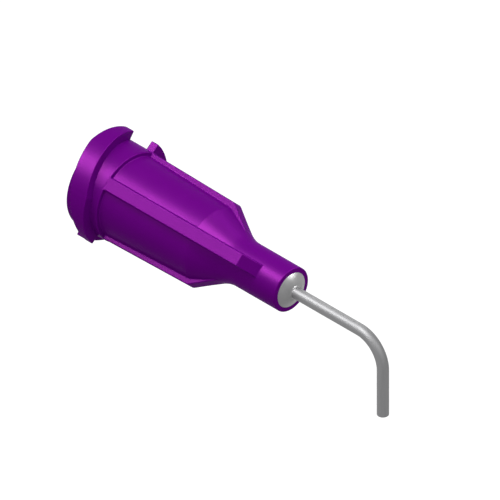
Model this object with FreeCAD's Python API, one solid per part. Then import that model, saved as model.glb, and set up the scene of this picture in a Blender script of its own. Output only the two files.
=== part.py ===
"""Dispensing needle tip: a moulded lock hub, a bent steel tube and the bead of adhesive that holds it.

Lengths are in millimetres and angles in degrees. The pieces are modelled upright, with the hub's
axis on +Z, its open end on the plane z = 0 and the bend towards +X. The last step lays them down:
the hub's axis becomes +X and the outlet points to -Z.
"""

import FreeCAD
import Part

import math
import os

from FreeCAD import Vector

# Collar, which carries the lock lugs
collar_diameter = 6.44
collar_length = 2.75

# Lock lugs, the two starts of one right-hand thread
lug_count = 2
lug_diameter = 7.73
lug_lead = 5.0
lug_thickness = 1.43
lug_front = 2.20
lug_span = 165.0
lug_flat_span = 59.5
lug_head_angle = 129.0

# Barrel, shoulder and nozzle
barrel_diameter = 5.84
barrel_length = 7.52
barrel_draft = 2.0
shoulder_angle = 22.7
shoulder_blend_radius = 2.74
nozzle_diameter = 3.15
nozzle_length = 3.92

# Fins: a long pair that ends on the nozzle and a short pair that ends on the shoulder
rib_thickness = 0.90
rib_draft = 1.0
rib_edge_radius = 0.07
long_rib_angle = 45.0
long_rib_overrun = 2.08
long_rib_end_slope = 60.0
short_rib_end_slope = 33.0

# Socket for the mating taper, and the funnel from it to the tube
socket_mouth_diameter = 4.30
socket_taper = 0.06
socket_depth = 9.5
socket_lead_in = 0.12
stop_land = 0.20

# Steel tube, 21 gauge
tube_diameter = 0.81
tube_bore = 0.51
tube_seat_length = 1.90
tube_reach = 6.22
bend_radius = 2.14
bend_angle = 90.0
outlet_length = 3.50
tube_edge_break = 0.04

# Bead of adhesive, and the well that it fills at the nozzle's end
well_diameter = 2.48
well_depth = 2.40
bead_dome_height = 0.39

# Clearances round the tube, and the radius on the hub's rims
tube_seat_clearance = 0.01
orifice_clearance = 0.005
edge_radius = 0.08

# Levels along the hub's axis that follow from the sizes above
barrel_end = collar_length + barrel_length
barrel_end_radius = barrel_diameter / 2 - barrel_length * math.tan(math.radians(barrel_draft))
nozzle_radius = nozzle_diameter / 2
shoulder_corner = barrel_end + (barrel_end_radius - nozzle_radius) / math.tan(math.radians(shoulder_angle))
nozzle_start = shoulder_corner + shoulder_blend_radius * math.tan(math.radians(shoulder_angle / 2))
hub_length = nozzle_start + nozzle_length
well_floor = hub_length - well_depth
tube_stop = well_floor - tube_seat_length

AXIS = Vector(0, 0, 1)
ORIGIN = Vector(0, 0, 0)
TOLERANCE = 1e-5


def rounded_corner(before, corner, after, radius):
    """The tangent arc of this radius at a corner, with the points where it starts and ends."""
    back = (before - corner).normalize()
    ahead = (after - corner).normalize()
    half = back.getAngle(ahead) / 2
    reach = radius / math.tan(half)
    start = corner + back * reach
    end = corner + ahead * reach
    middle = corner + (back + ahead).normalize() * (radius / math.sin(half) - radius)
    return start, Part.Arc(start, middle, end).toShape(), end


def section(corners):
    """A flat face in the XZ plane from (x, z, radius) corners; a corner with radius 0 stays sharp."""
    points = [Vector(x, 0, z) for x, z, _ in corners]
    turns = []
    for i, (_, _, radius) in enumerate(corners):
        before = points[i - 1]
        after = points[(i + 1) % len(points)]
        if radius > 0:
            turns.append(rounded_corner(before, points[i], after, radius))
        else:
            turns.append((points[i], None, points[i]))
    edges = []
    for i, (_, arc, leave) in enumerate(turns):
        arrive = turns[(i + 1) % len(turns)][0]
        if arc is not None:
            edges.append(arc)
        edges.append(Part.LineSegment(leave, arrive).toShape())
    return Part.Face(Part.Wire(edges))


def turned(corners):
    """The solid that a section sweeps round the axis."""
    return section(corners).revolve(ORIGIN, AXIS, 360)


def hub_body():
    """Collar, barrel, shoulder and nozzle in one turned form, still solid inside."""
    collar_radius = collar_diameter / 2
    return turned([
        (0, 0, 0),
        (collar_radius, 0, edge_radius),
        (collar_radius, collar_length, edge_radius),
        (barrel_diameter / 2, collar_length, 0),
        (barrel_end_radius, barrel_end, 0),
        (nozzle_radius, shoulder_corner, shoulder_blend_radius),
        (nozzle_radius, hub_length, edge_radius),
        (0, hub_length, 0),
    ])


def hub_cavity():
    """All that is open inside the hub: tapered socket, funnel, orifice, seat for the tube and well."""
    mouth_radius = socket_mouth_diameter / 2
    orifice_radius = tube_bore / 2 + orifice_clearance
    seat_radius = tube_diameter / 2 + tube_seat_clearance
    return turned([
        (0, 0, 0),
        (mouth_radius + socket_lead_in, 0, 0),
        (mouth_radius - socket_lead_in * socket_taper / 2, socket_lead_in, 0),
        (mouth_radius - socket_depth * socket_taper / 2, socket_depth, 0),
        (orifice_radius, tube_stop - stop_land, 0),
        (orifice_radius, tube_stop, 0),
        (seat_radius, tube_stop, 0),
        (seat_radius, well_floor, 0),
        (well_diameter / 2, well_floor, 0),
        (well_diameter / 2, hub_length, 0),
        (0, hub_length, 0),
    ])


def rib_top(level):
    """How far a fin's flat top stands from the axis: its corners start flush with the collar's rim."""
    flush = math.sqrt((collar_diameter / 2)**2 - (rib_thickness / 2)**2)
    return flush - (level - collar_length) * math.tan(math.radians(rib_draft))


def rib(top_end, end_slope):
    """One fin out of the collar, whose drafted top ends at a level and then slopes down into the hub."""
    root = collar_length - 2 * edge_radius
    foot_radius = nozzle_radius / 2
    foot = top_end + (rib_top(top_end) - foot_radius) / math.tan(math.radians(end_slope))
    blade = section([
        (0, root, 0),
        (rib_top(root), root, 0),
        (rib_top(top_end), top_end, 0),
        (foot_radius, foot, 0),
        (0, foot, 0),
    ])
    blade.translate(Vector(0, -rib_thickness / 2, 0))
    fin = blade.extrude(Vector(0, rib_thickness, 0))
    return fin.makeFillet(rib_edge_radius, [edge for edge in fin.Edges if is_outer_edge(edge, foot_radius)])


def is_outer_edge(edge, foot_radius):
    """Whether an edge of a fin runs along its top or down its sloping end."""
    ends = [vertex.Point for vertex in edge.Vertexes]
    outside = all(point.x > foot_radius - TOLERANCE for point in ends)
    lengthwise = abs(ends[0].z - ends[1].z) > TOLERANCE
    return outside and lengthwise


def ribs():
    """The four fins: a long pair and a short pair, each pair opposite."""
    nozzle_foot = nozzle_start + long_rib_overrun
    slope = math.tan(math.radians(long_rib_end_slope))
    draft = math.tan(math.radians(rib_draft))
    # the drafted top ends where it meets the slope drawn up from the nozzle's surface
    long_top_end = nozzle_foot - (rib_top(nozzle_foot) - nozzle_radius) / (slope - draft)
    fins = []
    for turn in (0, 180):
        long_fin = rib(long_top_end, long_rib_end_slope)
        short_fin = rib(barrel_end, short_rib_end_slope)
        long_fin.rotate(ORIGIN, AXIS, long_rib_angle + turn)
        short_fin.rotate(ORIGIN, AXIS, long_rib_angle + 90 + turn)
        fins += [long_fin, short_fin]
    return fins


def lug():
    """One start of the lock thread: a helical band, cut off flat at the open end and at its front."""
    inside = (socket_mouth_diameter + collar_diameter) / 4
    outside = lug_diameter / 2 + lug_thickness / 4
    front_at_tail = lug_front - lug_lead * (lug_span - lug_flat_span) / 360
    back_at_tail = front_at_tail - lug_thickness
    profile = Part.makePolygon([
        Vector(inside, 0, back_at_tail),
        Vector(outside, 0, back_at_tail),
        Vector(outside, 0, front_at_tail),
        Vector(inside, 0, front_at_tail),
        Vector(inside, 0, back_at_tail),
    ])
    helix = Part.makeHelix(lug_lead, lug_lead * lug_span / 360, lug_diameter / 2)
    helix.translate(Vector(0, 0, back_at_tail))
    band = Part.Wire(helix.Edges).makePipeShell([profile], True, True)
    start = band.common(Part.makeCylinder(lug_diameter / 2, lug_front)).Solids[0]
    start.rotate(ORIGIN, AXIS, lug_head_angle - lug_span)
    return start


def hub():
    """The moulded hub: body, fins and lugs in one piece, hollow from end to end."""
    lugs = []
    for i in range(lug_count):
        start = lug()
        start.rotate(ORIGIN, AXIS, 360 * i / lug_count)
        lugs.append(start)
    return hub_body().fuse(ribs() + lugs).cut(hub_cavity()).removeSplitter()


def round_run(diameter):
    """A round bar along the tube's route: straight through the hub, round the bend and out."""
    bend_start = Vector(0, 0, hub_length + tube_reach)
    centre = bend_start + Vector(bend_radius, 0, 0)
    disc = Part.Face(Part.Wire(Part.makeCircle(diameter / 2, bend_start)))
    straight = disc.extrude(Vector(0, 0, tube_stop - bend_start.z))
    bend = disc.revolve(centre, Vector(0, 1, 0), bend_angle)
    outlet = disc.extrude(Vector(0, 0, outlet_length))
    outlet.rotate(centre, Vector(0, 1, 0), bend_angle)
    return straight.fuse([bend, outlet])


def tube():
    """The steel tube, from its seat in the hub to the outlet, with the outlet's rim broken."""
    bar = round_run(tube_diameter)
    rim = min((edge for edge in bar.Edges if is_full_circle(edge)), key=outlet_distance)
    return bar.makeChamfer(tube_edge_break, [rim]).cut(round_run(tube_bore))


def is_full_circle(edge):
    """Whether an edge is a whole circle."""
    return isinstance(edge.Curve, Part.Circle) and edge.isClosed()


def outlet_distance(edge):
    """How far the centre of a circle lies from the middle of the tube's outlet."""
    angle = math.radians(bend_angle)
    outlet = Vector(
        bend_radius * (1 - math.cos(angle)) + outlet_length * math.sin(angle),
        0,
        hub_length + tube_reach + bend_radius * math.sin(angle) + outlet_length * math.cos(angle),
    )
    return edge.Curve.Center.distanceToPoint(outlet)


def bead():
    """The adhesive that fills the well round the tube and stands out of it as a dome."""
    well_radius = well_diameter / 2
    dome_radius = (well_radius**2 + bead_dome_height**2) / (2 * bead_dome_height)
    dome_centre = Vector(0, 0, hub_length + bead_dome_height - dome_radius)
    fill = Part.makeCylinder(well_radius, well_depth + bead_dome_height, Vector(0, 0, well_floor))
    domed = fill.common(Part.makeSphere(dome_radius, dome_centre).fuse(
        Part.makeCylinder(well_radius, well_depth, Vector(0, 0, well_floor))))
    return domed.cut(round_run(tube_diameter)).removeSplitter()


def export(name, shape):
    """Lays an upright piece down, with the hub's axis on +X, and writes it to its own file."""
    laid = shape.copy()
    laid.rotate(ORIGIN, Vector(0, 1, 0), 90)
    laid.exportStep(os.path.join("parts", name + ".step"))
    print(f"{name}: {len(laid.Solids)} solid, valid {laid.isValid()}, {laid.Volume:.3f} mm3")


def main():
    """Builds the three pieces and writes one file for each."""
    os.makedirs("parts", exist_ok=True)
    export("hub", hub())
    export("needle_tube", tube())
    export("adhesive_bead", bead())


main()
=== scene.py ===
"""Dispensing needle tip, dressed: a moulded lock hub, a bent steel tube and the bead that holds it.

Sizes are in millimetres and angles in degrees until a mesh is written, which is in metres. The
hub's axis is +X with its open end at x = 0, and the tube's outlet points to -Z. An angle round the
axis is counted from -Z towards +Y.
"""

from __future__ import annotations

import logging
import math
from dataclasses import dataclass, field
from enum import Enum
from typing import Sequence

import bmesh
import bpy
from mathutils import Matrix, Vector

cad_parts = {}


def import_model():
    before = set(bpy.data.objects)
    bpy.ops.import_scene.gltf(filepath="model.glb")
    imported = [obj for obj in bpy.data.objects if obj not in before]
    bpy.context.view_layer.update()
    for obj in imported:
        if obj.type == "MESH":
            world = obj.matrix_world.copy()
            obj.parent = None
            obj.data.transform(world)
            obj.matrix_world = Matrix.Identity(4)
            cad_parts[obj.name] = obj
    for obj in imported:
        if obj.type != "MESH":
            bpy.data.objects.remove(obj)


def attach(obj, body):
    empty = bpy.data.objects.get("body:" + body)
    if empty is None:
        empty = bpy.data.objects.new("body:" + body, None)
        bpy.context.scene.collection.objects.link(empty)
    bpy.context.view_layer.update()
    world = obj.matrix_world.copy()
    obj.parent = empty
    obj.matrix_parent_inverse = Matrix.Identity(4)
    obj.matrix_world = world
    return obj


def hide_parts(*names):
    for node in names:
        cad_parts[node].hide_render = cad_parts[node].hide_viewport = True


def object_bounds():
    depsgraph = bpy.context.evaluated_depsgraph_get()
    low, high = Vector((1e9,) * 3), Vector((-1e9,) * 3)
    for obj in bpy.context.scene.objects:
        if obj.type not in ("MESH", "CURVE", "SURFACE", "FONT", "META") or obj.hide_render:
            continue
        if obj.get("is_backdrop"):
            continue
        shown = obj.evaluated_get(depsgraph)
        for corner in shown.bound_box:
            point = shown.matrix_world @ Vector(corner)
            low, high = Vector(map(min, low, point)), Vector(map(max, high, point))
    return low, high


MM = 0.001
BODY = "root"
STRAIGHTENED = "straightened"

# Faces in a rounded edge, and in a flat stretch beside one
ROUND_STEPS = 4
FLAT_STEPS = 3

# Points nearer than this are one point, shorter edges are none, and faces this alike are one size
SAME_POINT = 0.00002
SHORTEST_EDGE = 0.00001
SAME_AREA = 0.001

# The shading modifier's setting at which large faces outweigh small ones the most
LARGE_FACES_LEAD = 100

# The value round which a noise swings
NOISE_MIDDLE = 0.5

log = logging.getLogger("needle_tip")

Point = tuple[float, float]
Colour = tuple[float, float, float]


class Piece(Enum):
    """The dressed pieces."""

    HUB = "lock_hub"
    TUBE = "bent_tube"
    BEAD = "epoxy_bead"


class Slot(Enum):
    """The record's material slots."""

    HUB = "hub_plastic"
    TUBE = "tube_steel"
    BEAD = "bead_adhesive"


class Node(Enum):
    """The solids of the frame that the dressed pieces stand for."""

    HUB = "hub"
    TUBE = "needle_tube"
    BEAD = "adhesive_bead"


def tan(degrees: float) -> float:
    """The tangent of an angle in degrees."""
    return math.tan(math.radians(degrees))


def mix(a: float, b: float, share: float) -> float:
    """The value that lies a share of the way from a to b."""
    return a + (b - a) * share


def spread(start: float, end: float, steps: int) -> list[float]:
    """Evenly spaced values after the start, up to and with the end."""
    return [mix(start, end, (i + 1) / steps) for i in range(steps)]


def higher(a: float, b: float, blend: float) -> float:
    """The larger of two heights, rounded where they cross, as a root radius does."""
    near = max(blend - abs(a - b), 0) / blend
    return max(a, b) + near * near * blend / 4


def lower(a: float, b: float, blend: float) -> float:
    """The smaller of two heights, rounded where they cross, as an edge radius does."""
    return -higher(-a, -b, blend)


def quarter(centre: Point, radius: float, start: float, end: float) -> list[Point]:
    """Points on a round edge of an outline.

    Args:
        centre: The middle of the arc, as (place along the axis, distance from it).
        radius: The arc's radius.
        start: The angle of the first point, from the direction along the axis.
        end: The angle of the last point.

    Returns:
        The arc's points, both ends with them.
    """
    angles = [math.radians(mix(start, end, i / ROUND_STEPS)) for i in range(ROUND_STEPS + 1)]
    return [(centre[0] + radius * math.cos(a), centre[1] + radius * math.sin(a)) for a in angles]


def around(along: float, height: float, across: float, angle: float) -> Vector:
    """A point beside a line that leaves the hub's axis at an angle.

    Args:
        along: The place along the axis.
        height: How far out along the line the point lies.
        across: How far to the line's side it lies.
        angle: The line's angle round the axis, in radians.

    Returns:
        The point in the frame's axes, in millimetres.
    """
    sine, cosine = math.sin(angle), math.cos(angle)
    return Vector((along, height * sine + across * cosine, -height * cosine + across * sine))


def placed(name: str, data: bpy.types.ID) -> bpy.types.Object:
    """A new object that stands in the scene.

    Args:
        name: The object's name.
        data: Its mesh, lamp or camera.

    Returns:
        The object.
    """
    made = bpy.data.objects.new(name, data)
    bpy.context.scene.collection.objects.link(made)
    return made


@dataclass
class Skin:
    """A closed mesh of rings of points, each joined to the next by a band of faces.

    The last ring of an endless skin joins the first. Any other skin has a cap at both ends.
    """

    rings: list[list[Vector]]
    endless: bool = True

    def faces(self, start: int) -> list[tuple[int, ...]]:
        """The mesh's faces.

        Args:
            start: The number of the first point.

        Returns:
            The point numbers of each face.
        """
        count, width = len(self.rings), len(self.rings[0])
        found = []
        for i in range(count if self.endless else count - 1):
            here = start + i * width
            there = start + (i + 1) % count * width
            for j in range(width):
                k = (j + 1) % width
                found.append((here + j, here + k, there + k, there + j))
        if not self.endless:
            found.append(tuple(start + j for j in reversed(range(width))))
            found.append(tuple(start + (count - 1) * width + j for j in range(width)))
        return found


@dataclass
class Shell:
    """One mesh piece, gathered from skins in millimetres and brought to metres at the end."""

    name: str
    points: list[Vector] = field(default_factory=list)
    faces: list[tuple[int, ...]] = field(default_factory=list)
    notes: dict[str, list[Vector]] = field(default_factory=dict)

    def add(self, skin: Skin) -> None:
        """Adds a closed skin to the piece."""
        self.faces += skin.faces(len(self.points))
        self.points += [point for ring in skin.rings for point in ring]

    def build(self, sharp_angle: float) -> bpy.types.Object:
        """Writes the mesh with smooth shading that stops at sharp edges and keeps large faces even.

        Args:
            sharp_angle: The angle between two faces above which their edge stays sharp.

        Returns:
            The new object.
        """
        mesh = bpy.data.meshes.new(self.name)
        mesh.from_pydata(self.points, [], self.faces)
        for name, places in self.notes.items():
            note = mesh.attributes.new(name, "FLOAT_VECTOR", "POINT")
            note.data.foreach_set("vector", [part * MM for place in places for part in place])
        piece = placed(self.name, mesh)
        self.clean(mesh)
        mesh.shade_smooth()
        mesh.set_sharp_from_angle(angle=math.radians(sharp_angle))
        weighted = piece.modifiers.new("even_shading", "WEIGHTED_NORMAL")
        weighted.keep_sharp = True
        weighted.weight = LARGE_FACES_LEAD
        weighted.thresh = SAME_AREA
        graph = bpy.context.evaluated_depsgraph_get()
        piece.data = bpy.data.meshes.new_from_object(piece.evaluated_get(graph), depsgraph=graph)
        piece.modifiers.clear()
        bpy.data.meshes.remove(mesh)
        piece.data.name = self.name
        piece.data.transform(Matrix.Scale(MM, 4))
        return piece

    @staticmethod
    def clean(mesh: bpy.types.Mesh) -> None:
        """Joins the points that fall together and turns every face outwards.

        Args:
            mesh: The mesh to clean, still in millimetres.
        """
        work = bmesh.new()
        work.from_mesh(mesh)
        bmesh.ops.remove_doubles(work, verts=work.verts, dist=SAME_POINT)
        bmesh.ops.dissolve_degenerate(work, edges=work.edges, dist=SHORTEST_EDGE)
        bmesh.ops.recalc_face_normals(work, faces=work.faces)
        work.to_mesh(mesh)
        work.free()


@dataclass(frozen=True)
class Fin:
    """One fin of the hub: where it stands, where its top ends and how it slopes down from there."""

    angle: float
    top_end: float
    end_slope: float
    foot_blend: float


@dataclass
class LockLug:
    """One start of the lock thread: a helical band, cut off flat at the open end and at its front.

    Its flat end stays a hair ahead of the hub's open end face, so that the two share no plane. It
    starts inside the collar's wall, at root_radius. Where its outline is drawn in at the ends, the
    edge radius shrinks by edge_give of that.
    """

    turn: float
    diameter: float = 7.73
    lead: float = 5.0
    thickness: float = 1.43
    front: float = 2.20
    span: float = 165.0
    flat_span: float = 59.5
    head_angle: float = 129.0
    edge_radius: float = 0.06
    edge_give: float = 0.7
    root_radius: float = 2.60
    end_face: float = 0.004
    steps: int = 66

    def section(self, angle: float, inset: float) -> list[Vector]:
        """The lug's outline across its run.

        Args:
            angle: The angle round the axis, from the lug's tail.
            inset: How far the outline is drawn in, for the round edges of the end faces.

        Returns:
            A ring of points, from the root's back round the crest to the root's front.
        """
        rise = self.lead * (angle - self.span + self.flat_span) / 360
        front = min(self.front + rise, self.front) - inset
        back = max(self.front + rise - self.thickness, self.end_face) + inset
        crest = self.diameter / 2 - inset
        edge = self.edge_radius - inset * self.edge_give
        halfway = mix(self.root_radius, crest - edge, 0.5)
        ring = [(back, self.root_radius), (back, halfway)]
        ring += quarter((back + edge, crest - edge), edge, 180, 90)
        ring += quarter((front - edge, crest - edge), edge, 90, 0)
        ring += [(front, halfway), (front, self.root_radius)]
        place = math.radians(self.head_angle + self.turn - self.span + angle)
        return [around(x, radius, 0, place) for x, radius in ring]

    def skin(self) -> Skin:
        """The lug as a closed skin.

        Returns:
            The skin, with an outline where each of its two flats starts.
        """
        reach = math.degrees(self.edge_radius / (self.diameter / 2))
        front_flat = self.span - self.flat_span
        back_flat = front_flat + 360 * (self.thickness - self.front) / self.lead
        angles = sorted(spread(reach, self.span - reach, self.steps) + [reach, front_flat, back_flat])
        rings = []
        for place, inset in quarter((0, 0), 1, 180, 90):
            rings.append(self.section(reach * (1 + place), self.edge_radius * (1 - inset)))
        rings += [self.section(angle, 0) for angle in angles[1:-1]]
        for place, inset in quarter((0, 0), 1, 90, 0):
            rings.append(self.section(self.span - reach * (1 - place), self.edge_radius * (1 - inset)))
        return Skin(rings, endless=False)


@dataclass
class Hub:
    """The moulded hub: collar, lock lugs, finned barrel, shoulder, nozzle and all that is open inside.

    From slope_step on, the fields say how the mesh is worked out: the step over which a slope is
    taken, the least share of its edges that a sinking fin keeps, how far before the short fins'
    feet the rings come closer, the faces in each stretch, and the tries that find a fin's end.
    """

    collar_diameter: float = 6.44
    collar_length: float = 2.75
    barrel_diameter: float = 5.84
    barrel_length: float = 7.52
    barrel_draft: float = 2.0
    shoulder_angle: float = 22.7
    shoulder_blend_radius: float = 2.74
    nozzle_diameter: float = 3.15
    nozzle_length: float = 3.92
    rib_thickness: float = 0.90
    rib_draft: float = 1.0
    long_rib_angle: float = 45.0
    long_rib_overrun: float = 2.08
    long_rib_end_slope: float = 60.0
    short_rib_end_slope: float = 33.0
    socket_mouth_diameter: float = 4.30
    socket_taper: float = 0.06
    socket_depth: float = 9.5
    socket_lead_in: float = 0.12
    stop_land: float = 0.20
    orifice_diameter: float = 0.52
    seat_diameter: float = 0.83
    seat_length: float = 1.90
    well_diameter: float = 2.48
    well_depth: float = 2.40
    rim_radius: float = 0.08
    root_radius: float = 0.08
    fin_edge_radius: float = 0.07
    line_blend: float = 0.02
    slope_step: float = 0.001
    least_room: float = 0.01
    short_foot_reach: float = 0.6
    body_steps: int = 26
    well_steps: int = 4
    funnel_steps: int = 6
    socket_steps: int = 10
    halvings: int = 40
    sharp_angle: float = 34.0
    lugs: list[LockLug] = field(default_factory=lambda: [LockLug(0), LockLug(180)])

    def __post_init__(self) -> None:
        """Works out the levels along the axis and the four fins."""
        self.barrel_end = self.collar_length + self.barrel_length
        self.barrel_end_radius = self.barrel_diameter / 2 - self.barrel_length * tan(self.barrel_draft)
        self.nozzle_radius = self.nozzle_diameter / 2
        narrowing = self.barrel_end_radius - self.nozzle_radius
        corner = self.barrel_end + narrowing / tan(self.shoulder_angle)
        reach = self.shoulder_blend_radius * tan(self.shoulder_angle / 2)
        self.blend_start = corner - reach * math.cos(math.radians(self.shoulder_angle))
        self.nozzle_start = corner + reach
        self.length = self.nozzle_start + self.nozzle_length
        self.well_floor = self.length - self.well_depth
        self.tube_stop = self.well_floor - self.seat_length
        self.settle_length = 4 * self.root_radius
        self.fins = [self.fin(turn) for turn in range(4)]

    def flat_top(self, x: float) -> float:
        """How far a fin's drafted top stands from the axis."""
        flush = math.sqrt((self.collar_diameter / 2) ** 2 - (self.rib_thickness / 2) ** 2)
        return flush - (x - self.collar_length) * tan(self.rib_draft)

    def fin(self, turn: int) -> Fin:
        """One of the four fins; the long and the short ones take turns.

        Args:
            turn: How many quarter turns the fin stands from the first long one.

        Returns:
            The fin.
        """
        angle = math.radians(self.long_rib_angle + 90 * turn)
        if turn % 2:
            rise = tan(self.short_rib_end_slope) - tan(self.shoulder_angle)
            blend = max(self.root_radius * rise, self.line_blend)
            return Fin(angle, self.barrel_end, self.short_rib_end_slope, blend)
        foot = self.nozzle_start + self.long_rib_overrun
        fall = self.flat_top(foot) - self.nozzle_radius
        top_end = foot - fall / (tan(self.long_rib_end_slope) - tan(self.rib_draft))
        return Fin(angle, top_end, self.long_rib_end_slope, self.root_radius)

    def body_radius(self, x: float) -> float:
        """The turned body's radius ahead of the collar, without the fins.

        Args:
            x: The place along the axis.

        Returns:
            The radius of the barrel, the shoulder, its blend or the nozzle there.
        """
        if x > self.nozzle_start:
            return self.nozzle_radius
        if x > self.blend_start:
            middle = self.nozzle_radius + self.shoulder_blend_radius
            return middle - math.sqrt(self.shoulder_blend_radius**2 - (self.nozzle_start - x) ** 2)
        barrel = self.barrel_diameter / 2 - (x - self.collar_length) * tan(self.barrel_draft)
        cone = self.barrel_end_radius - (x - self.barrel_end) * tan(self.shoulder_angle)
        return lower(barrel, cone, self.line_blend)

    def fin_plane(self, x: float, fin: Fin) -> float:
        """How far a fin's outer face stands from the axis: its drafted top, then its sloping end."""
        slope = self.flat_top(fin.top_end) - (x - fin.top_end) * tan(fin.end_slope)
        return lower(self.flat_top(x), slope, self.fin_edge_radius)

    def fin_half(self, x: float, flare: float, fin: Fin) -> list[Point]:
        """Half of a fin's outline across the axis.

        Args:
            x: The place along the axis.
            flare: How far the root radius at the collar widens the outline here.
            fin: The fin.

        Returns:
            (across, height) points from the fin's middle to where its root meets the body.
        """
        radius = self.body_radius(x) + flare
        side = self.rib_thickness / 2 + flare
        plane = self.fin_plane(x, fin)
        step = self.slope_step
        steepness = (self.fin_plane(x - step, fin) - self.fin_plane(x + step, fin)) / (2 * step)

        def top(across: float) -> float:
            """The height of the fin or of the body under it, whichever stands out."""
            return higher(plane, math.sqrt(radius**2 - across**2), fin.foot_blend)

        standing = top(side) - math.sqrt(radius**2 - side**2)
        tall_edge = self.fin_edge_radius * math.hypot(1, steepness)
        room = min(max(standing / (self.root_radius + tall_edge), self.least_room), 1)
        edge, tall_edge, root = self.fin_edge_radius * room, tall_edge * room, self.root_radius * room

        flat = [(side - edge) * i / FLAT_STEPS for i in range(FLAT_STEPS + 1)]
        points = [(across, top(across)) for across in flat]
        for angle in spread(0, 90, ROUND_STEPS):
            turn = math.radians(angle)
            across = side - edge + edge * math.sin(turn)
            points.append((across, top(across) - tall_edge * (1 - math.cos(turn))))
        middle = math.sqrt((radius + root) ** 2 - (side + root) ** 2)
        points += [(side, mix(points[-1][1], middle, share)) for share in spread(0, 1, FLAT_STEPS)]
        sweep = math.atan2(middle, side + root)
        for i in range(1, ROUND_STEPS + 1):
            turn = math.pi + sweep * i / ROUND_STEPS
            points.append((side + root + root * math.cos(turn), middle + root * math.sin(turn)))
        return self.settled(x, radius, fin, points)

    def settled(self, x: float, radius: float, fin: Fin, points: list[Point]) -> list[Point]:
        """A fin's half outline, evened out along the body once the fin has run out.

        Args:
            x: The place along the axis.
            radius: The body's radius there.
            fin: The fin.
            points: The half outline as (across, height) points.

        Returns:
            The half outline to use.
        """
        share = (x - self.fin_end(fin)) / self.settle_length
        if share <= 0:
            return points
        widest = math.asin((self.rib_thickness / 2 + self.root_radius) / radius)
        even = [radius * math.sin(widest * i / (len(points) - 1)) for i in range(len(points))]
        moved = [mix(across, goal, min(share, 1)) for (across, _), goal in zip(points, even)]
        return [(across, math.sqrt(radius**2 - across**2)) for across in moved]

    def fin_end(self, fin: Fin) -> float:
        """Where a fin has sunk into the body right across.

        Args:
            fin: The fin.

        Returns:
            The place along the axis.
        """
        low, high = fin.top_end, self.length
        for _ in range(self.halvings):
            x = (low + high) / 2
            edge = math.sqrt(self.body_radius(x) ** 2 - (self.rib_thickness / 2) ** 2)
            if self.fin_plane(x, fin) > edge - fin.foot_blend:
                low = x
            else:
                high = x
        return high

    def outline(self, x: float, flare: float = 0.0) -> list[Vector]:
        """The ring round the finned body at a place along the axis.

        Args:
            x: The place along the axis.
            flare: How far the root radius at the collar widens the outline here.

        Returns:
            The ring, from the first long fin all the way round.
        """
        halves = [self.fin_half(x, flare, fin) for fin in self.fins]
        ring = []
        for fin, half, following in zip(self.fins, halves, halves[1:] + halves[:1]):
            for across, height in [(-a, h) for a, h in reversed(half[1:])] + half:
                ring.append(around(x, height, across, fin.angle))
            leave = fin.angle + math.atan2(*half[-1])
            arrive = fin.angle + math.pi / 2 - math.atan2(*following[-1])
            radius = math.hypot(*half[-1])
            for angle in spread(leave, arrive, self.body_steps)[:-1]:
                ring.append(around(x, radius, 0, angle))
        return ring

    @staticmethod
    def round_ring(x: float, radius: float, angles: Sequence[float]) -> list[Vector]:
        """A round ring at the given angles."""
        return [around(x, radius, 0, angle) for angle in angles]

    @staticmethod
    def angles_of(ring: Sequence[Vector]) -> list[float]:
        """The angle of each point of a ring.

        Args:
            ring: The ring's points.

        Returns:
            The angles in radians, rising all the way round.
        """
        angles = [math.atan2(point.y, -point.z) for point in ring]
        for i in range(1, len(angles)):
            while angles[i] < angles[i - 1] - math.pi:
                angles[i] += 2 * math.pi
        return angles

    def collar(self, start: Sequence[Vector]) -> list[list[Vector]]:
        """The rings of the collar, from its open end face to the finned outline at its back.

        Args:
            start: The finned outline on the collar's back face, flare with it.

        Returns:
            The rings, without the outline itself.
        """
        radius, rim = self.collar_diameter / 2, self.rim_radius
        angles = self.angles_of(start)
        front = quarter((rim, radius - rim), rim, 180, 90)
        rings = [self.round_ring(x, r, angles) for x, r in front]
        reaches = [math.hypot(point.y, point.z) for point in start]
        for _, height in quarter((self.collar_length - rim, radius - rim), rim, 90, 0):
            ring = []
            for angle, reach in zip(angles, reaches):
                out = min(max(height, reach), radius)
                back = math.sqrt(max(rim**2 - (out - radius + rim) ** 2, 0))
                ring.append(around(self.collar_length - rim + back, out, 0, angle))
            rings.append(ring)
        return rings

    def stations(self) -> list[float]:
        """The places along the axis that get a ring, close together where the form turns.

        Returns:
            The places, from the collar's root radius to where the long fins have settled.
        """
        long_fin, short_fin = self.fins[0], self.fins[1]
        turn = 2 * self.fin_edge_radius
        short_foot, long_foot = self.fin_end(short_fin), self.fin_end(long_fin)
        start = self.collar_length + self.root_radius
        places: list[float] = []
        for end, steps in (
            (self.barrel_end - turn, 8),
            (self.barrel_end + turn, 14),
            (short_foot - self.short_foot_reach, 8),
            (self.blend_start, 22),
            (self.nozzle_start, 16),
            (long_fin.top_end - turn, 6),
            (long_fin.top_end + turn, 14),
            (long_foot - 2 * turn, 6),
            (long_foot + turn, 18),
            (long_foot + self.settle_length, 4),
        ):
            places += spread(start, end, steps)
            start = end
        return places

    def outside(self) -> list[list[Vector]]:
        """The rings of all that shows outside.

        Returns:
            The rings, from the open end face to the nozzle's end face.
        """
        root = self.root_radius
        flared = []
        for i in range(ROUND_STEPS + 1):
            turn = math.radians(90 * i / ROUND_STEPS)
            x = self.collar_length + root * (1 - math.cos(turn))
            flared.append(self.outline(x, root * (1 - math.sin(turn))))
        rings = self.collar(flared[0])
        rings.append(self.seated(flared[0]))
        rings += flared[1:]
        rings += [self.outline(x) for x in self.stations()]
        rim = self.rim_radius
        end = quarter((self.length - rim, self.nozzle_radius - rim), rim, 90, 0)
        angles = self.angles_of(rings[-1])
        return rings + [self.round_ring(x, r, angles) for x, r in end]

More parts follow.
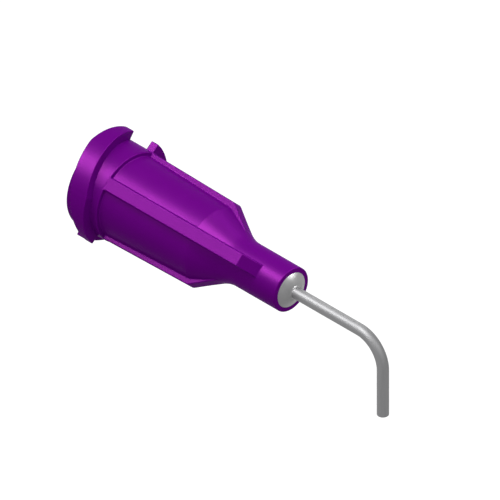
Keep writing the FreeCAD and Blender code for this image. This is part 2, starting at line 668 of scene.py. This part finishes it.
    def seated(self, ring: Sequence[Vector]) -> list[Vector]:
        """The first finned outline, drawn back onto the collar's round rim where it reaches that far.

        Args:
            ring: The outline on the collar's back face.

        Returns:
            The outline on the back face and the rim.
        """
        radius, rim = self.collar_diameter / 2, self.rim_radius
        drawn = []
        for point in ring:
            out = min(max(math.hypot(point.y, point.z) - radius + rim, 0), rim)
            drawn.append(Vector((self.collar_length - rim + math.sqrt(rim**2 - out**2), point.y, point.z)))
        return drawn

    def inside(self) -> list[Point]:
        """The outline of all that is open inside.

        Returns:
            (along, distance from the axis) points from the nozzle's end face to the socket's mouth.
        """
        mouth = self.socket_mouth_diameter / 2
        well, seat, orifice = self.well_diameter / 2, self.seat_diameter / 2, self.orifice_diameter / 2
        floor, stop = self.well_floor, self.tube_stop
        funnel = stop - self.stop_land
        throat = mouth - self.socket_depth * self.socket_taper / 2
        points = [(self.length, well)]
        points += [(x, well) for x in spread(self.length, floor, self.well_steps)]
        points += [(floor, seat), (stop, seat), (stop, orifice), (funnel, orifice)]
        for share in spread(0, 1, self.funnel_steps):
            points.append((mix(funnel, self.socket_depth, share), mix(orifice, throat, share)))
        for x in spread(self.socket_depth, self.socket_lead_in, self.socket_steps):
            points.append((x, mouth - x * self.socket_taper / 2))
        points.append((0, mouth + self.socket_lead_in))
        return points

    def body(self) -> Skin:
        """The whole moulding without its lugs.

        Returns:
            One closed skin, out along the outside and back through the inside.
        """
        rings = self.outside()
        first, last = self.angles_of(rings[0]), self.angles_of(rings[-1])
        if last[0] - first[0] > math.pi:
            last = [angle - 2 * math.pi for angle in last]
        for x, radius in self.inside():
            share = 1 - x / self.length
            angles = [mix(a, b, share) for a, b in zip(last, first)]
            rings.append(self.round_ring(x, radius, angles))
        return Skin(rings)

    def build(self) -> bpy.types.Object:
        """Builds and dresses the hub.

        Returns:
            The dressed piece.
        """
        shell = Shell(Piece.HUB.value)
        shell.add(self.body())
        for lug in self.lugs:
            shell.add(lug.skin())
        return dress(shell.build(self.sharp_angle), Polypropylene().material(), Node.HUB)


@dataclass
class NeedleTube:
    """The steel tube: straight out of the hub, round one bend and down to its outlet."""

    hub: Hub
    diameter: float = 0.81
    bore: float = 0.51
    reach: float = 6.22
    bend_radius: float = 2.14
    outlet: float = 3.50
    edge_break: float = 0.04
    straight_steps: int = 12
    bend_steps: int = 40
    outlet_steps: int = 6
    width: int = 56
    sharp_angle: float = 40.0

    def __post_init__(self) -> None:
        """Works out where the tube stops in the hub and where its bend starts."""
        self.inner_end = self.hub.tube_stop
        self.bend_start = self.hub.length + self.reach

    def middle(self, distance: float) -> tuple[Vector, Vector]:
        """The tube's middle line.

        Args:
            distance: How far along the line, from the hub's open end.

        Returns:
            The point on the line, and the direction from it out of the bend.
        """
        past = distance - self.bend_start
        if past <= 0:
            return Vector((distance, 0, 0)), Vector((0, 0, 1))
        angle = min(past / self.bend_radius, math.pi / 2)
        outwards = Vector((math.sin(angle), 0, math.cos(angle)))
        centre = Vector((self.bend_start, 0, -self.bend_radius))
        below = Vector((0, 0, self.bend_radius * angle - past))
        return centre + outwards * self.bend_radius + below, outwards

    def length(self) -> float:
        """How far along its middle line the outlet lies, from the hub's open end."""
        return self.bend_start + self.bend_radius * math.pi / 2 + self.outlet

    def run(self) -> list[Point]:
        """The tube's rings in order: out along the outside, over the rim, back through the bore.

        Returns:
            The (distance along the middle line, radius) of each ring.
        """
        outer, inner, end = self.diameter / 2, self.bore / 2, self.length()
        bend_end, rim = end - self.outlet, end - self.edge_break
        out = [self.inner_end] + spread(self.inner_end, self.bend_start, self.straight_steps)
        out += spread(self.bend_start, bend_end, self.bend_steps)
        out += spread(bend_end, rim, self.outlet_steps)
        lip = quarter((rim, outer - self.edge_break), self.edge_break, 90, 0)
        back = spread(end, bend_end, self.outlet_steps)
        back += spread(bend_end, self.bend_start, self.bend_steps) + [self.inner_end]
        return [(x, outer) for x in out] + lip[1:] + [(end, inner)] + [(x, inner) for x in back]

    def shell(self) -> Shell:
        """The tube as a closed piece that remembers where each point lies on the straight tube.

        Returns:
            The piece, still in millimetres.
        """
        rings, straight = [], []
        angles = [2 * math.pi * i / self.width for i in range(self.width)]
        for distance, radius in self.run():
            middle, outwards = self.middle(distance)
            rings.append([middle + outwards * (radius * math.cos(a)) + Vector((0, radius * math.sin(a), 0))
                          for a in angles])
            straight += [Vector((distance, radius * math.sin(a), radius * math.cos(a))) for a in angles]
        shell = Shell(Piece.TUBE.value)
        shell.add(Skin(rings))
        shell.notes[STRAIGHTENED] = straight
        return shell

    def build(self) -> bpy.types.Object:
        """Builds and dresses the tube."""
        piece = self.shell().build(self.sharp_angle)
        return dress(piece, DrawnSteel().material(), Node.TUBE)


@dataclass
class AdhesiveBead:
    """The bead of adhesive: it fills the well, stands out as a dome and climbs a little up the tube."""

    hub: Hub
    tube: NeedleTube
    dome_height: float = 0.39
    climb: float = 0.07
    wall_steps: int = 3
    dome_steps: int = 16
    climb_steps: int = 10
    width: int = 72
    sharp_angle: float = 50.0

    def dome(self, radius: float) -> float:
        """The dome's surface, with the adhesive that climbs the tube.

        Args:
            radius: The distance from the axis.

        Returns:
            Where the surface lies along the axis.
        """
        edge = self.hub.well_diameter / 2
        round_radius = (edge**2 + self.dome_height**2) / (2 * self.dome_height)
        cap = self.hub.length + self.dome_height - round_radius + math.sqrt(round_radius**2 - radius**2)
        near = max(1 - (radius - self.tube.diameter / 2) / self.climb, 0)
        return cap + self.climb * (1 - math.sqrt(1 - min(near, 1) ** 2))

    def shell(self) -> Shell:
        """The bead as a closed piece.

        Returns:
            The piece, still in millimetres.
        """
        floor, end = self.hub.well_floor, self.hub.length
        edge, hole = self.hub.well_diameter / 2, self.tube.diameter / 2
        outline = [(floor, edge)]
        outline += [(x, edge) for x in spread(floor, end, self.wall_steps)]
        outline += [(self.dome(r), r) for r in spread(edge, hole + self.climb, self.dome_steps)]
        outline += [(self.dome(r), r) for r in spread(hole + self.climb, hole, self.climb_steps)]
        outline += [(floor, hole)]
        angles = [2 * math.pi * i / self.width for i in range(self.width)]
        shell = Shell(Piece.BEAD.value)
        shell.add(Skin([[around(x, r, 0, a) for a in angles] for x, r in outline]))
        return shell

    def build(self) -> bpy.types.Object:
        """Builds and dresses the bead."""
        piece = self.shell().build(self.sharp_angle)
        return dress(piece, CuredEpoxy().material(), Node.BEAD)


class Reading:
    """A number that a node gives; sums of readings are written as Python expressions."""

    def __init__(self, sheet: "Sheet", socket: bpy.types.NodeSocket) -> None:
        """Wraps a socket of a node on a sheet."""
        self.sheet = sheet
        self.socket = socket

    def __add__(self, other: "Reading | float") -> "Reading":
        """The sum."""
        return self.sheet.sum("ADD", self, other)

    def __radd__(self, other: float) -> "Reading":
        """The sum, with a number first."""
        return self.sheet.sum("ADD", other, self)

    def __sub__(self, other: "Reading | float") -> "Reading":
        """The difference."""
        return self.sheet.sum("SUBTRACT", self, other)

    def __rsub__(self, other: float) -> "Reading":
        """The difference, with a number first."""
        return self.sheet.sum("SUBTRACT", other, self)

    def __mul__(self, other: "Reading | float") -> "Reading":
        """The product."""
        return self.sheet.sum("MULTIPLY", self, other)

    def __rmul__(self, other: float) -> "Reading":
        """The product, with a number first."""
        return self.sheet.sum("MULTIPLY", other, self)

    def at_most(self, limit: float) -> "Reading":
        """The reading, or the limit where the reading is larger."""
        return self.sheet.sum("MINIMUM", self, limit)

    def swing(self, reach: float) -> "Reading":
        """How far a noise lies from its middle, times a reach."""
        return (self - NOISE_MIDDLE) * reach


class Sheet:
    """The node sheet of a material or of the world."""

    def __init__(self, tree: bpy.types.NodeTree) -> None:
        """Clears the sheet."""
        self.tree = tree
        tree.nodes.clear()

    def node(self, kind: str, settings: dict[str, object] | None = None,
             sockets: dict[str | int, object] | None = None) -> bpy.types.Node:
        """Adds a node.

        Args:
            kind: The node's type, without its ShaderNode prefix.
            settings: The node's own properties, set first.
            sockets: Values, readings or output sockets for its inputs, by name or number.

        Returns:
            The node.
        """
        made = self.tree.nodes.new("ShaderNode" + kind)
        for name, value in (settings or {}).items():
            setattr(made, name, value)
        for name, value in (sockets or {}).items():
            if isinstance(value, Reading):
                value = value.socket
            if isinstance(value, bpy.types.NodeSocket):
                self.tree.links.new(value, made.inputs[name])
            else:
                made.inputs[name].default_value = value
        return made

    def reading(self, node: bpy.types.Node, output: str | int) -> Reading:
        """One output of a node as a reading."""
        return Reading(self, node.outputs[output])

    def sum(self, operation: str, left: Reading | float, right: Reading | float) -> Reading:
        """A sum of two numbers, of which at least one is a reading."""
        return self.reading(self.node("Math", {"operation": operation}, {0: left, 1: right}), 0)

    def noise(self, place: bpy.types.NodeSocket, size: float, detail: float = 2.0,
              stretch: Sequence[float] = (1, 1, 1)) -> Reading:
        """Soft random blotches.

        Args:
            place: The coordinates that the blotches lie in, in metres.
            size: About how large a blotch is, in millimetres.
            detail: How much finer detail the blotches hold.
            stretch: How many times longer the blotches are along each axis.

        Returns:
            A reading that swings round the noise's middle.
        """
        squeeze = tuple(1 / (size * MM * along) for along in stretch)
        scaled = self.node("VectorMath", {"operation": "MULTIPLY"}, {0: place, 1: squeeze})
        sockets = {"Vector": scaled.outputs[0], "Scale": 1.0, "Detail": detail}
        return self.reading(self.node("TexNoise", {"noise_dimensions": "3D"}, sockets), 0)

    def colour_between(self, share: Reading, first: Colour, second: Colour) -> bpy.types.NodeSocket:
        """A colour that moves from the first to the second as the share rises."""
        ends = {0: share, 6: (*first, 1), 7: (*second, 1)}
        return self.node("Mix", {"data_type": "RGBA", "clamp_factor": True}, ends).outputs[2]

    def shades(self, share: Reading, colour: Colour, contrast: float) -> bpy.types.NodeSocket:
        """Shades of one colour, the contrast darker where the share is 0 and lighter where it is 1."""
        dark, light = (tuple(part * factor for part in colour) for factor in (1 - contrast, 1 + contrast))
        return self.colour_between(share, dark, light)

    def bump(self, height: Reading, depth: float) -> bpy.types.NodeSocket:
        """The normal of a surface with a fine relief of that depth, in millimetres."""
        return self.node("Bump", None, {"Height": height, "Distance": depth * MM}).outputs[0]

    def surface(self, sockets: dict[str | int, object]) -> None:
        """Adds a material's shader with the values of its sockets, and its output."""
        shader = self.node("BsdfPrincipled", None, sockets)
        self.node("OutputMaterial", None, {"Surface": shader.outputs[0]})


def new_finish(name: str) -> tuple[bpy.types.Material, Sheet]:
    """A new material.

    Args:
        name: The material's name.

    Returns:
        The material and its empty sheet.
    """
    made = bpy.data.materials.new(name)
    made.use_nodes = True
    return made, Sheet(made.node_tree)


@dataclass(frozen=True)
class Polypropylene:
    """Purple moulded polypropylene with a soft sheen.

    The pigment tints the sheen. The tint carries most of the sheen's strength, so that hardly any
    white haze shows where the surface turns away. Swirls of pigment run along the flow, a fine
    texture covers all, and soft haze makes both a little uneven.
    """

    colour: Colour = (0.148, 0.0005, 0.240)
    roughness: float = 0.39
    sheen_level: float = 0.004
    sheen_tint: Colour = (30.0, 3.4, 30.0)
    swirl_size: float = 3.5
    swirl_stretch: float = 2.5
    swirl_reach: float = 2.2
    swirl_contrast: float = 0.06
    texture_size: float = 0.09
    texture_depth: float = 0.0030
    texture_roughness: float = 0.06
    haze_size: float = 1.1
    haze_height: float = 0.4
    haze_roughness: float = 0.10

    def material(self) -> bpy.types.Material:
        """The finish as a material.

        Returns:
            The material.
        """
        made, sheet = new_finish("purple_polypropylene")
        place = sheet.node("TexCoord").outputs["Object"]
        swirls = sheet.noise(place, self.swirl_size, detail=3.0, stretch=(self.swirl_stretch, 1, 1))
        grain = sheet.noise(place, self.texture_size, detail=3.0)
        haze = sheet.noise(place, self.haze_size)
        pigment = swirls.swing(self.swirl_reach) + NOISE_MIDDLE
        unevenness = haze.swing(self.haze_roughness)
        sheet.surface({
            "Base Color": sheet.shades(pigment, self.colour, self.swirl_contrast),
            "Roughness": self.roughness + unevenness + grain.swing(self.texture_roughness),
            "Specular IOR Level": self.sheen_level,
            "Specular Tint": (*self.sheen_tint, 1),
            "Normal": sheet.bump(grain + haze * self.haze_height, self.texture_depth),
        })
        return made


@dataclass(frozen=True)
class DrawnSteel:
    """Drawn stainless steel tube, passivated, with fine lines and broader bands along it."""

    colour: Colour = (0.208, 0.208, 0.212)
    contrast: float = 0.10
    roughness: float = 0.58
    line_width: float = 0.022
    line_stretch: float = 60.0
    line_reach: float = 0.9
    line_depth: float = 0.0010
    line_roughness: float = 0.16
    band_width: float = 0.16
    band_stretch: float = 18.0
    band_reach: float = 0.8
    band_height: float = 0.5
    cloud_size: float = 0.9
    cloud_stretch: float = 2.0
    cloud_roughness: float = 0.10

    def material(self) -> bpy.types.Material:
        """The finish as a material.

        Returns:
            The material, which lies along the tube however the tube is bent.
        """
        made, sheet = new_finish("drawn_stainless_steel")
        place = sheet.node("Attribute", {"attribute_name": STRAIGHTENED}).outputs["Vector"]
        lines = sheet.noise(place, self.line_width, stretch=(self.line_stretch, 1, 1))
        bands = sheet.noise(place, self.band_width, stretch=(self.band_stretch, 1, 1))
        clouds = sheet.noise(place, self.cloud_size, detail=3.0, stretch=(self.cloud_stretch, 1, 1))
        wear = lines.swing(self.line_reach) + bands.swing(self.band_reach) + NOISE_MIDDLE
        streaks = lines.swing(self.line_roughness)
        sheet.surface({
            "Base Color": sheet.shades(wear, self.colour, self.contrast),
            "Metallic": 1.0,
            "Roughness": self.roughness + streaks + clouds.swing(self.cloud_roughness),
            "Normal": sheet.bump(lines + bands * self.band_height, self.line_depth),
        })
        return made


@dataclass(frozen=True)
class CuredEpoxy:
    """Grey filled epoxy, cured to a smooth shine, with soft clouds and the filler's fine grains."""

    colour: Colour = (0.37, 0.37, 0.375)
    contrast: float = 0.08
    roughness: float = 0.30
    shine: float = 0.5
    cloud_size: float = 0.7
    cloud_reach: float = 1.2
    cloud_depth: float = 0.010
    filler_size: float = 0.035
    filler_reach: float = 0.8
    filler_height: float = 0.15
    filler_roughness: float = 0.10

    def material(self) -> bpy.types.Material:
        """The finish as a material.

        Returns:
            The material.
        """
        made, sheet = new_finish("grey_epoxy")
        place = sheet.node("TexCoord").outputs["Object"]
        clouds = sheet.noise(place, self.cloud_size, detail=3.0)
        filler = sheet.noise(place, self.filler_size, detail=1.0)
        mottle = clouds.swing(self.cloud_reach) + filler.swing(self.filler_reach) + NOISE_MIDDLE
        sheet.surface({
            "Base Color": sheet.shades(mottle, self.colour, self.contrast),
            "Roughness": self.roughness + filler.swing(self.filler_roughness),
            "Specular IOR Level": self.shine,
            "Normal": sheet.bump(clouds + filler * self.filler_height, self.cloud_depth),
        })
        return made


@dataclass
class Lamp:
    """A round softbox that faces the object.

    Its level is how brightly it lights a white card that faces it. A plain lamp lights the colour of
    every piece. A lamp for one piece's gloss gives that piece its sheen and nothing else: it lights
    no colour and no other piece, and casts no shadow.
    """

    name: str
    direction: tuple[float, float, float]
    level: float
    size: float
    gloss_of: Piece | None = None
    distance: float = 400.0

    def build(self, target: Vector, pieces: dict[str, bpy.types.Object]) -> None:
        """Hangs the lamp.

        Args:
            target: The point that it faces, in metres.
            pieces: The object's pieces by name.
        """
        data = bpy.data.lights.new(self.name, "AREA")
        data.shape = "DISK"
        data.size = self.size * MM
        data.energy = self.level * math.pi**2 * (self.distance * MM) ** 2
        data.use_shadow = self.gloss_of is None
        lamp = placed(self.name, data)
        towards = Vector(self.direction).normalized()
        lamp.location = target + towards * self.distance * MM
        lamp.rotation_mode = "QUATERNION"
        lamp.rotation_quaternion = towards.to_track_quat("Z", "Y")
        lamp.visible_diffuse = self.gloss_of is None
        lamp.visible_glossy = self.gloss_of is not None
        if self.gloss_of:
            lit = bpy.data.collections.new(self.name + "_lit")
            lit.objects.link(pieces[self.gloss_of.value])
            lamp.light_linking.receiver_collection = lit


@dataclass
class Studio:
    """White surroundings, soft lamps and a pale floor well below the object."""

    sky_middle: float = 0.53
    sky_rise: float = 0.30
    floor_level: float = -80.0
    floor_size: float = 4000.0
    floor_grey: float = 0.25
    floor_lift: float = 0.22
    lamps: list[Lamp] = field(default_factory=lambda: [
        Lamp("top_softbox", (0, 0, 1), 0.25, 260),
        Lamp("hub_sheen", (-0.605, -0.364, 0.708), 3.6, 1000, Piece.HUB, 2000),
        Lamp("cone_sheen", (0.171, -0.357, 0.918), 6.3, 1200, Piece.HUB, 2000),
        Lamp("shoulder_sheen", (0.393, 0.577, 0.716), 2.2, 390, Piece.HUB),
        Lamp("tube_sheen", (-0.301, -0.411, 0.861), 1.55, 90, Piece.TUBE),
        Lamp("bend_sheen", (0.706, 0.033, 0.706), 0.28, 250, Piece.TUBE),
        Lamp("tube_crown", (-0.577, 0.669, 0.468), 0.28, 300, Piece.TUBE),
        Lamp("bead_sheen", (0.631, 0.548, 0.549), 4.4, 320, Piece.BEAD),
    ])

    def seen(self, sheet: Sheet) -> Reading:
        """Whether the camera, a reflection or a view through something meets the surroundings.

        Args:
            sheet: The node sheet to add it to.

        Returns:
            A reading of 1 where one of them does, and 0 elsewhere.
        """
        path = sheet.node("LightPath")
        camera = sheet.reading(path, "Is Camera Ray")
        gloss = sheet.reading(path, "Is Glossy Ray")
        through = sheet.reading(path, "Is Transmission Ray")
        return (camera + gloss + through).at_most(1)

    def sky(self) -> None:
        """Fills the world: white where it is seen, and a soft light from above for what it lights."""
        world = bpy.data.worlds.new("studio_sky")
        world.use_nodes = True
        bpy.context.scene.world = world
        sheet = Sheet(world.node_tree)
        seen = self.seen(sheet)
        direction = sheet.node("TexCoord").outputs["Generated"]
        height = sheet.reading(sheet.node("SeparateXYZ", None, {0: direction}), 2)
        level = seen + (1 - seen) * (self.sky_middle + height * self.sky_rise)
        shade = sheet.node("Background", None, {"Color": (1, 1, 1, 1), "Strength": level})
        sheet.node("OutputWorld", None, {"Surface": shade.outputs[0]})

    def floor(self) -> None:
        """Lays the floor: white where it is seen, pale grey for the light that it throws back."""
        half = self.floor_size * MM / 2
        sides = ((-half, -half), (half, -half), (half, half), (-half, half))
        mesh = bpy.data.meshes.new("floor")
        mesh.from_pydata([(x, y, self.floor_level * MM) for x, y in sides], [], [(0, 1, 2, 3)])
        piece = placed("floor", mesh)
        made, sheet = new_finish("pale_floor")
        seen = self.seen(sheet)
        sheet.surface({
            "Base Color": sheet.colour_between(seen, (self.floor_grey,) * 3, (1, 1, 1)),
            "Roughness": 1.0,
            "Specular IOR Level": 0.0,
            "Emission Color": sheet.colour_between(seen, (0, 0, 0), (self.floor_lift,) * 3),
            "Emission Strength": 1.0,
        })
        mesh.materials.append(made)
        piece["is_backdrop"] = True

    def build(self, target: Vector, pieces: dict[str, bpy.types.Object]) -> None:
        """Sets up the sky, the floor and the lamps.

        Args:
            target: The point that the lamps face, in metres.
            pieces: The object's pieces by name.
        """
        self.sky()
        self.floor()
        for lamp in self.lamps:
            lamp.build(target, pieces)


@dataclass
class Viewpoint:
    """The camera of an exact isometric view from the front, left and above."""

    pixels: int = 500
    pixels_per_mm: float = 15.5
    origin_across: float = 101.37
    origin_down: float = 180.37
    distance: float = 80.0
    nearest: float = 1.0
    farthest: float = 1000.0

    def build(self) -> None:
        """Places the camera so that the hub's open end falls where the picture shows it."""
        back = Vector((1, -1, 1)).normalized()
        right = Vector((1, 1, 0)).normalized()
        up = back.cross(right)
        across = (self.pixels / 2 - self.origin_across) / self.pixels_per_mm
        down = (self.pixels / 2 - self.origin_down) / self.pixels_per_mm
        data = bpy.data.cameras.new("isometric_camera")
        data.type = "ORTHO"
        data.ortho_scale = self.pixels / self.pixels_per_mm * MM
        data.clip_start, data.clip_end = self.nearest * MM, self.farthest * MM
        camera = placed("isometric_camera", data)
        camera.location = (right * across - up * down + back * self.distance) * MM
        camera.rotation_mode = "QUATERNION"
        camera.rotation_quaternion = back.to_track_quat("Z", "Y")
        bpy.context.scene.camera = camera


def dress(piece: bpy.types.Object, finish: bpy.types.Material, node: Node) -> bpy.types.Object:
    """Gives a piece its finish and its place in the frame.

    Args:
        piece: The piece.
        finish: The material that it is made of.
        node: The solid that it stands for.

    Returns:
        The same piece.
    """
    piece.data.materials.append(finish)
    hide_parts(node.value)
    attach(piece, BODY)
    return piece


def main() -> None:
    """Builds the camera, the three pieces and the studio, and reports each piece."""
    logging.basicConfig(level=logging.INFO, format="%(name)s %(message)s")
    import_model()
    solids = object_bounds()
    Viewpoint().build()
    bpy.context.scene.view_settings.view_transform = "Standard"
    hub = Hub()
    tube = NeedleTube(hub)
    pieces = {}
    for part in (hub, tube, AdhesiveBead(hub, tube)):
        piece = part.build()
        pieces[piece.name] = piece
        log.info("%s: %d faces", piece.name, len(piece.data.polygons))
    Studio().build((solids[0] + solids[1]) / 2, pieces)


if __name__ == "__main__":
    main()
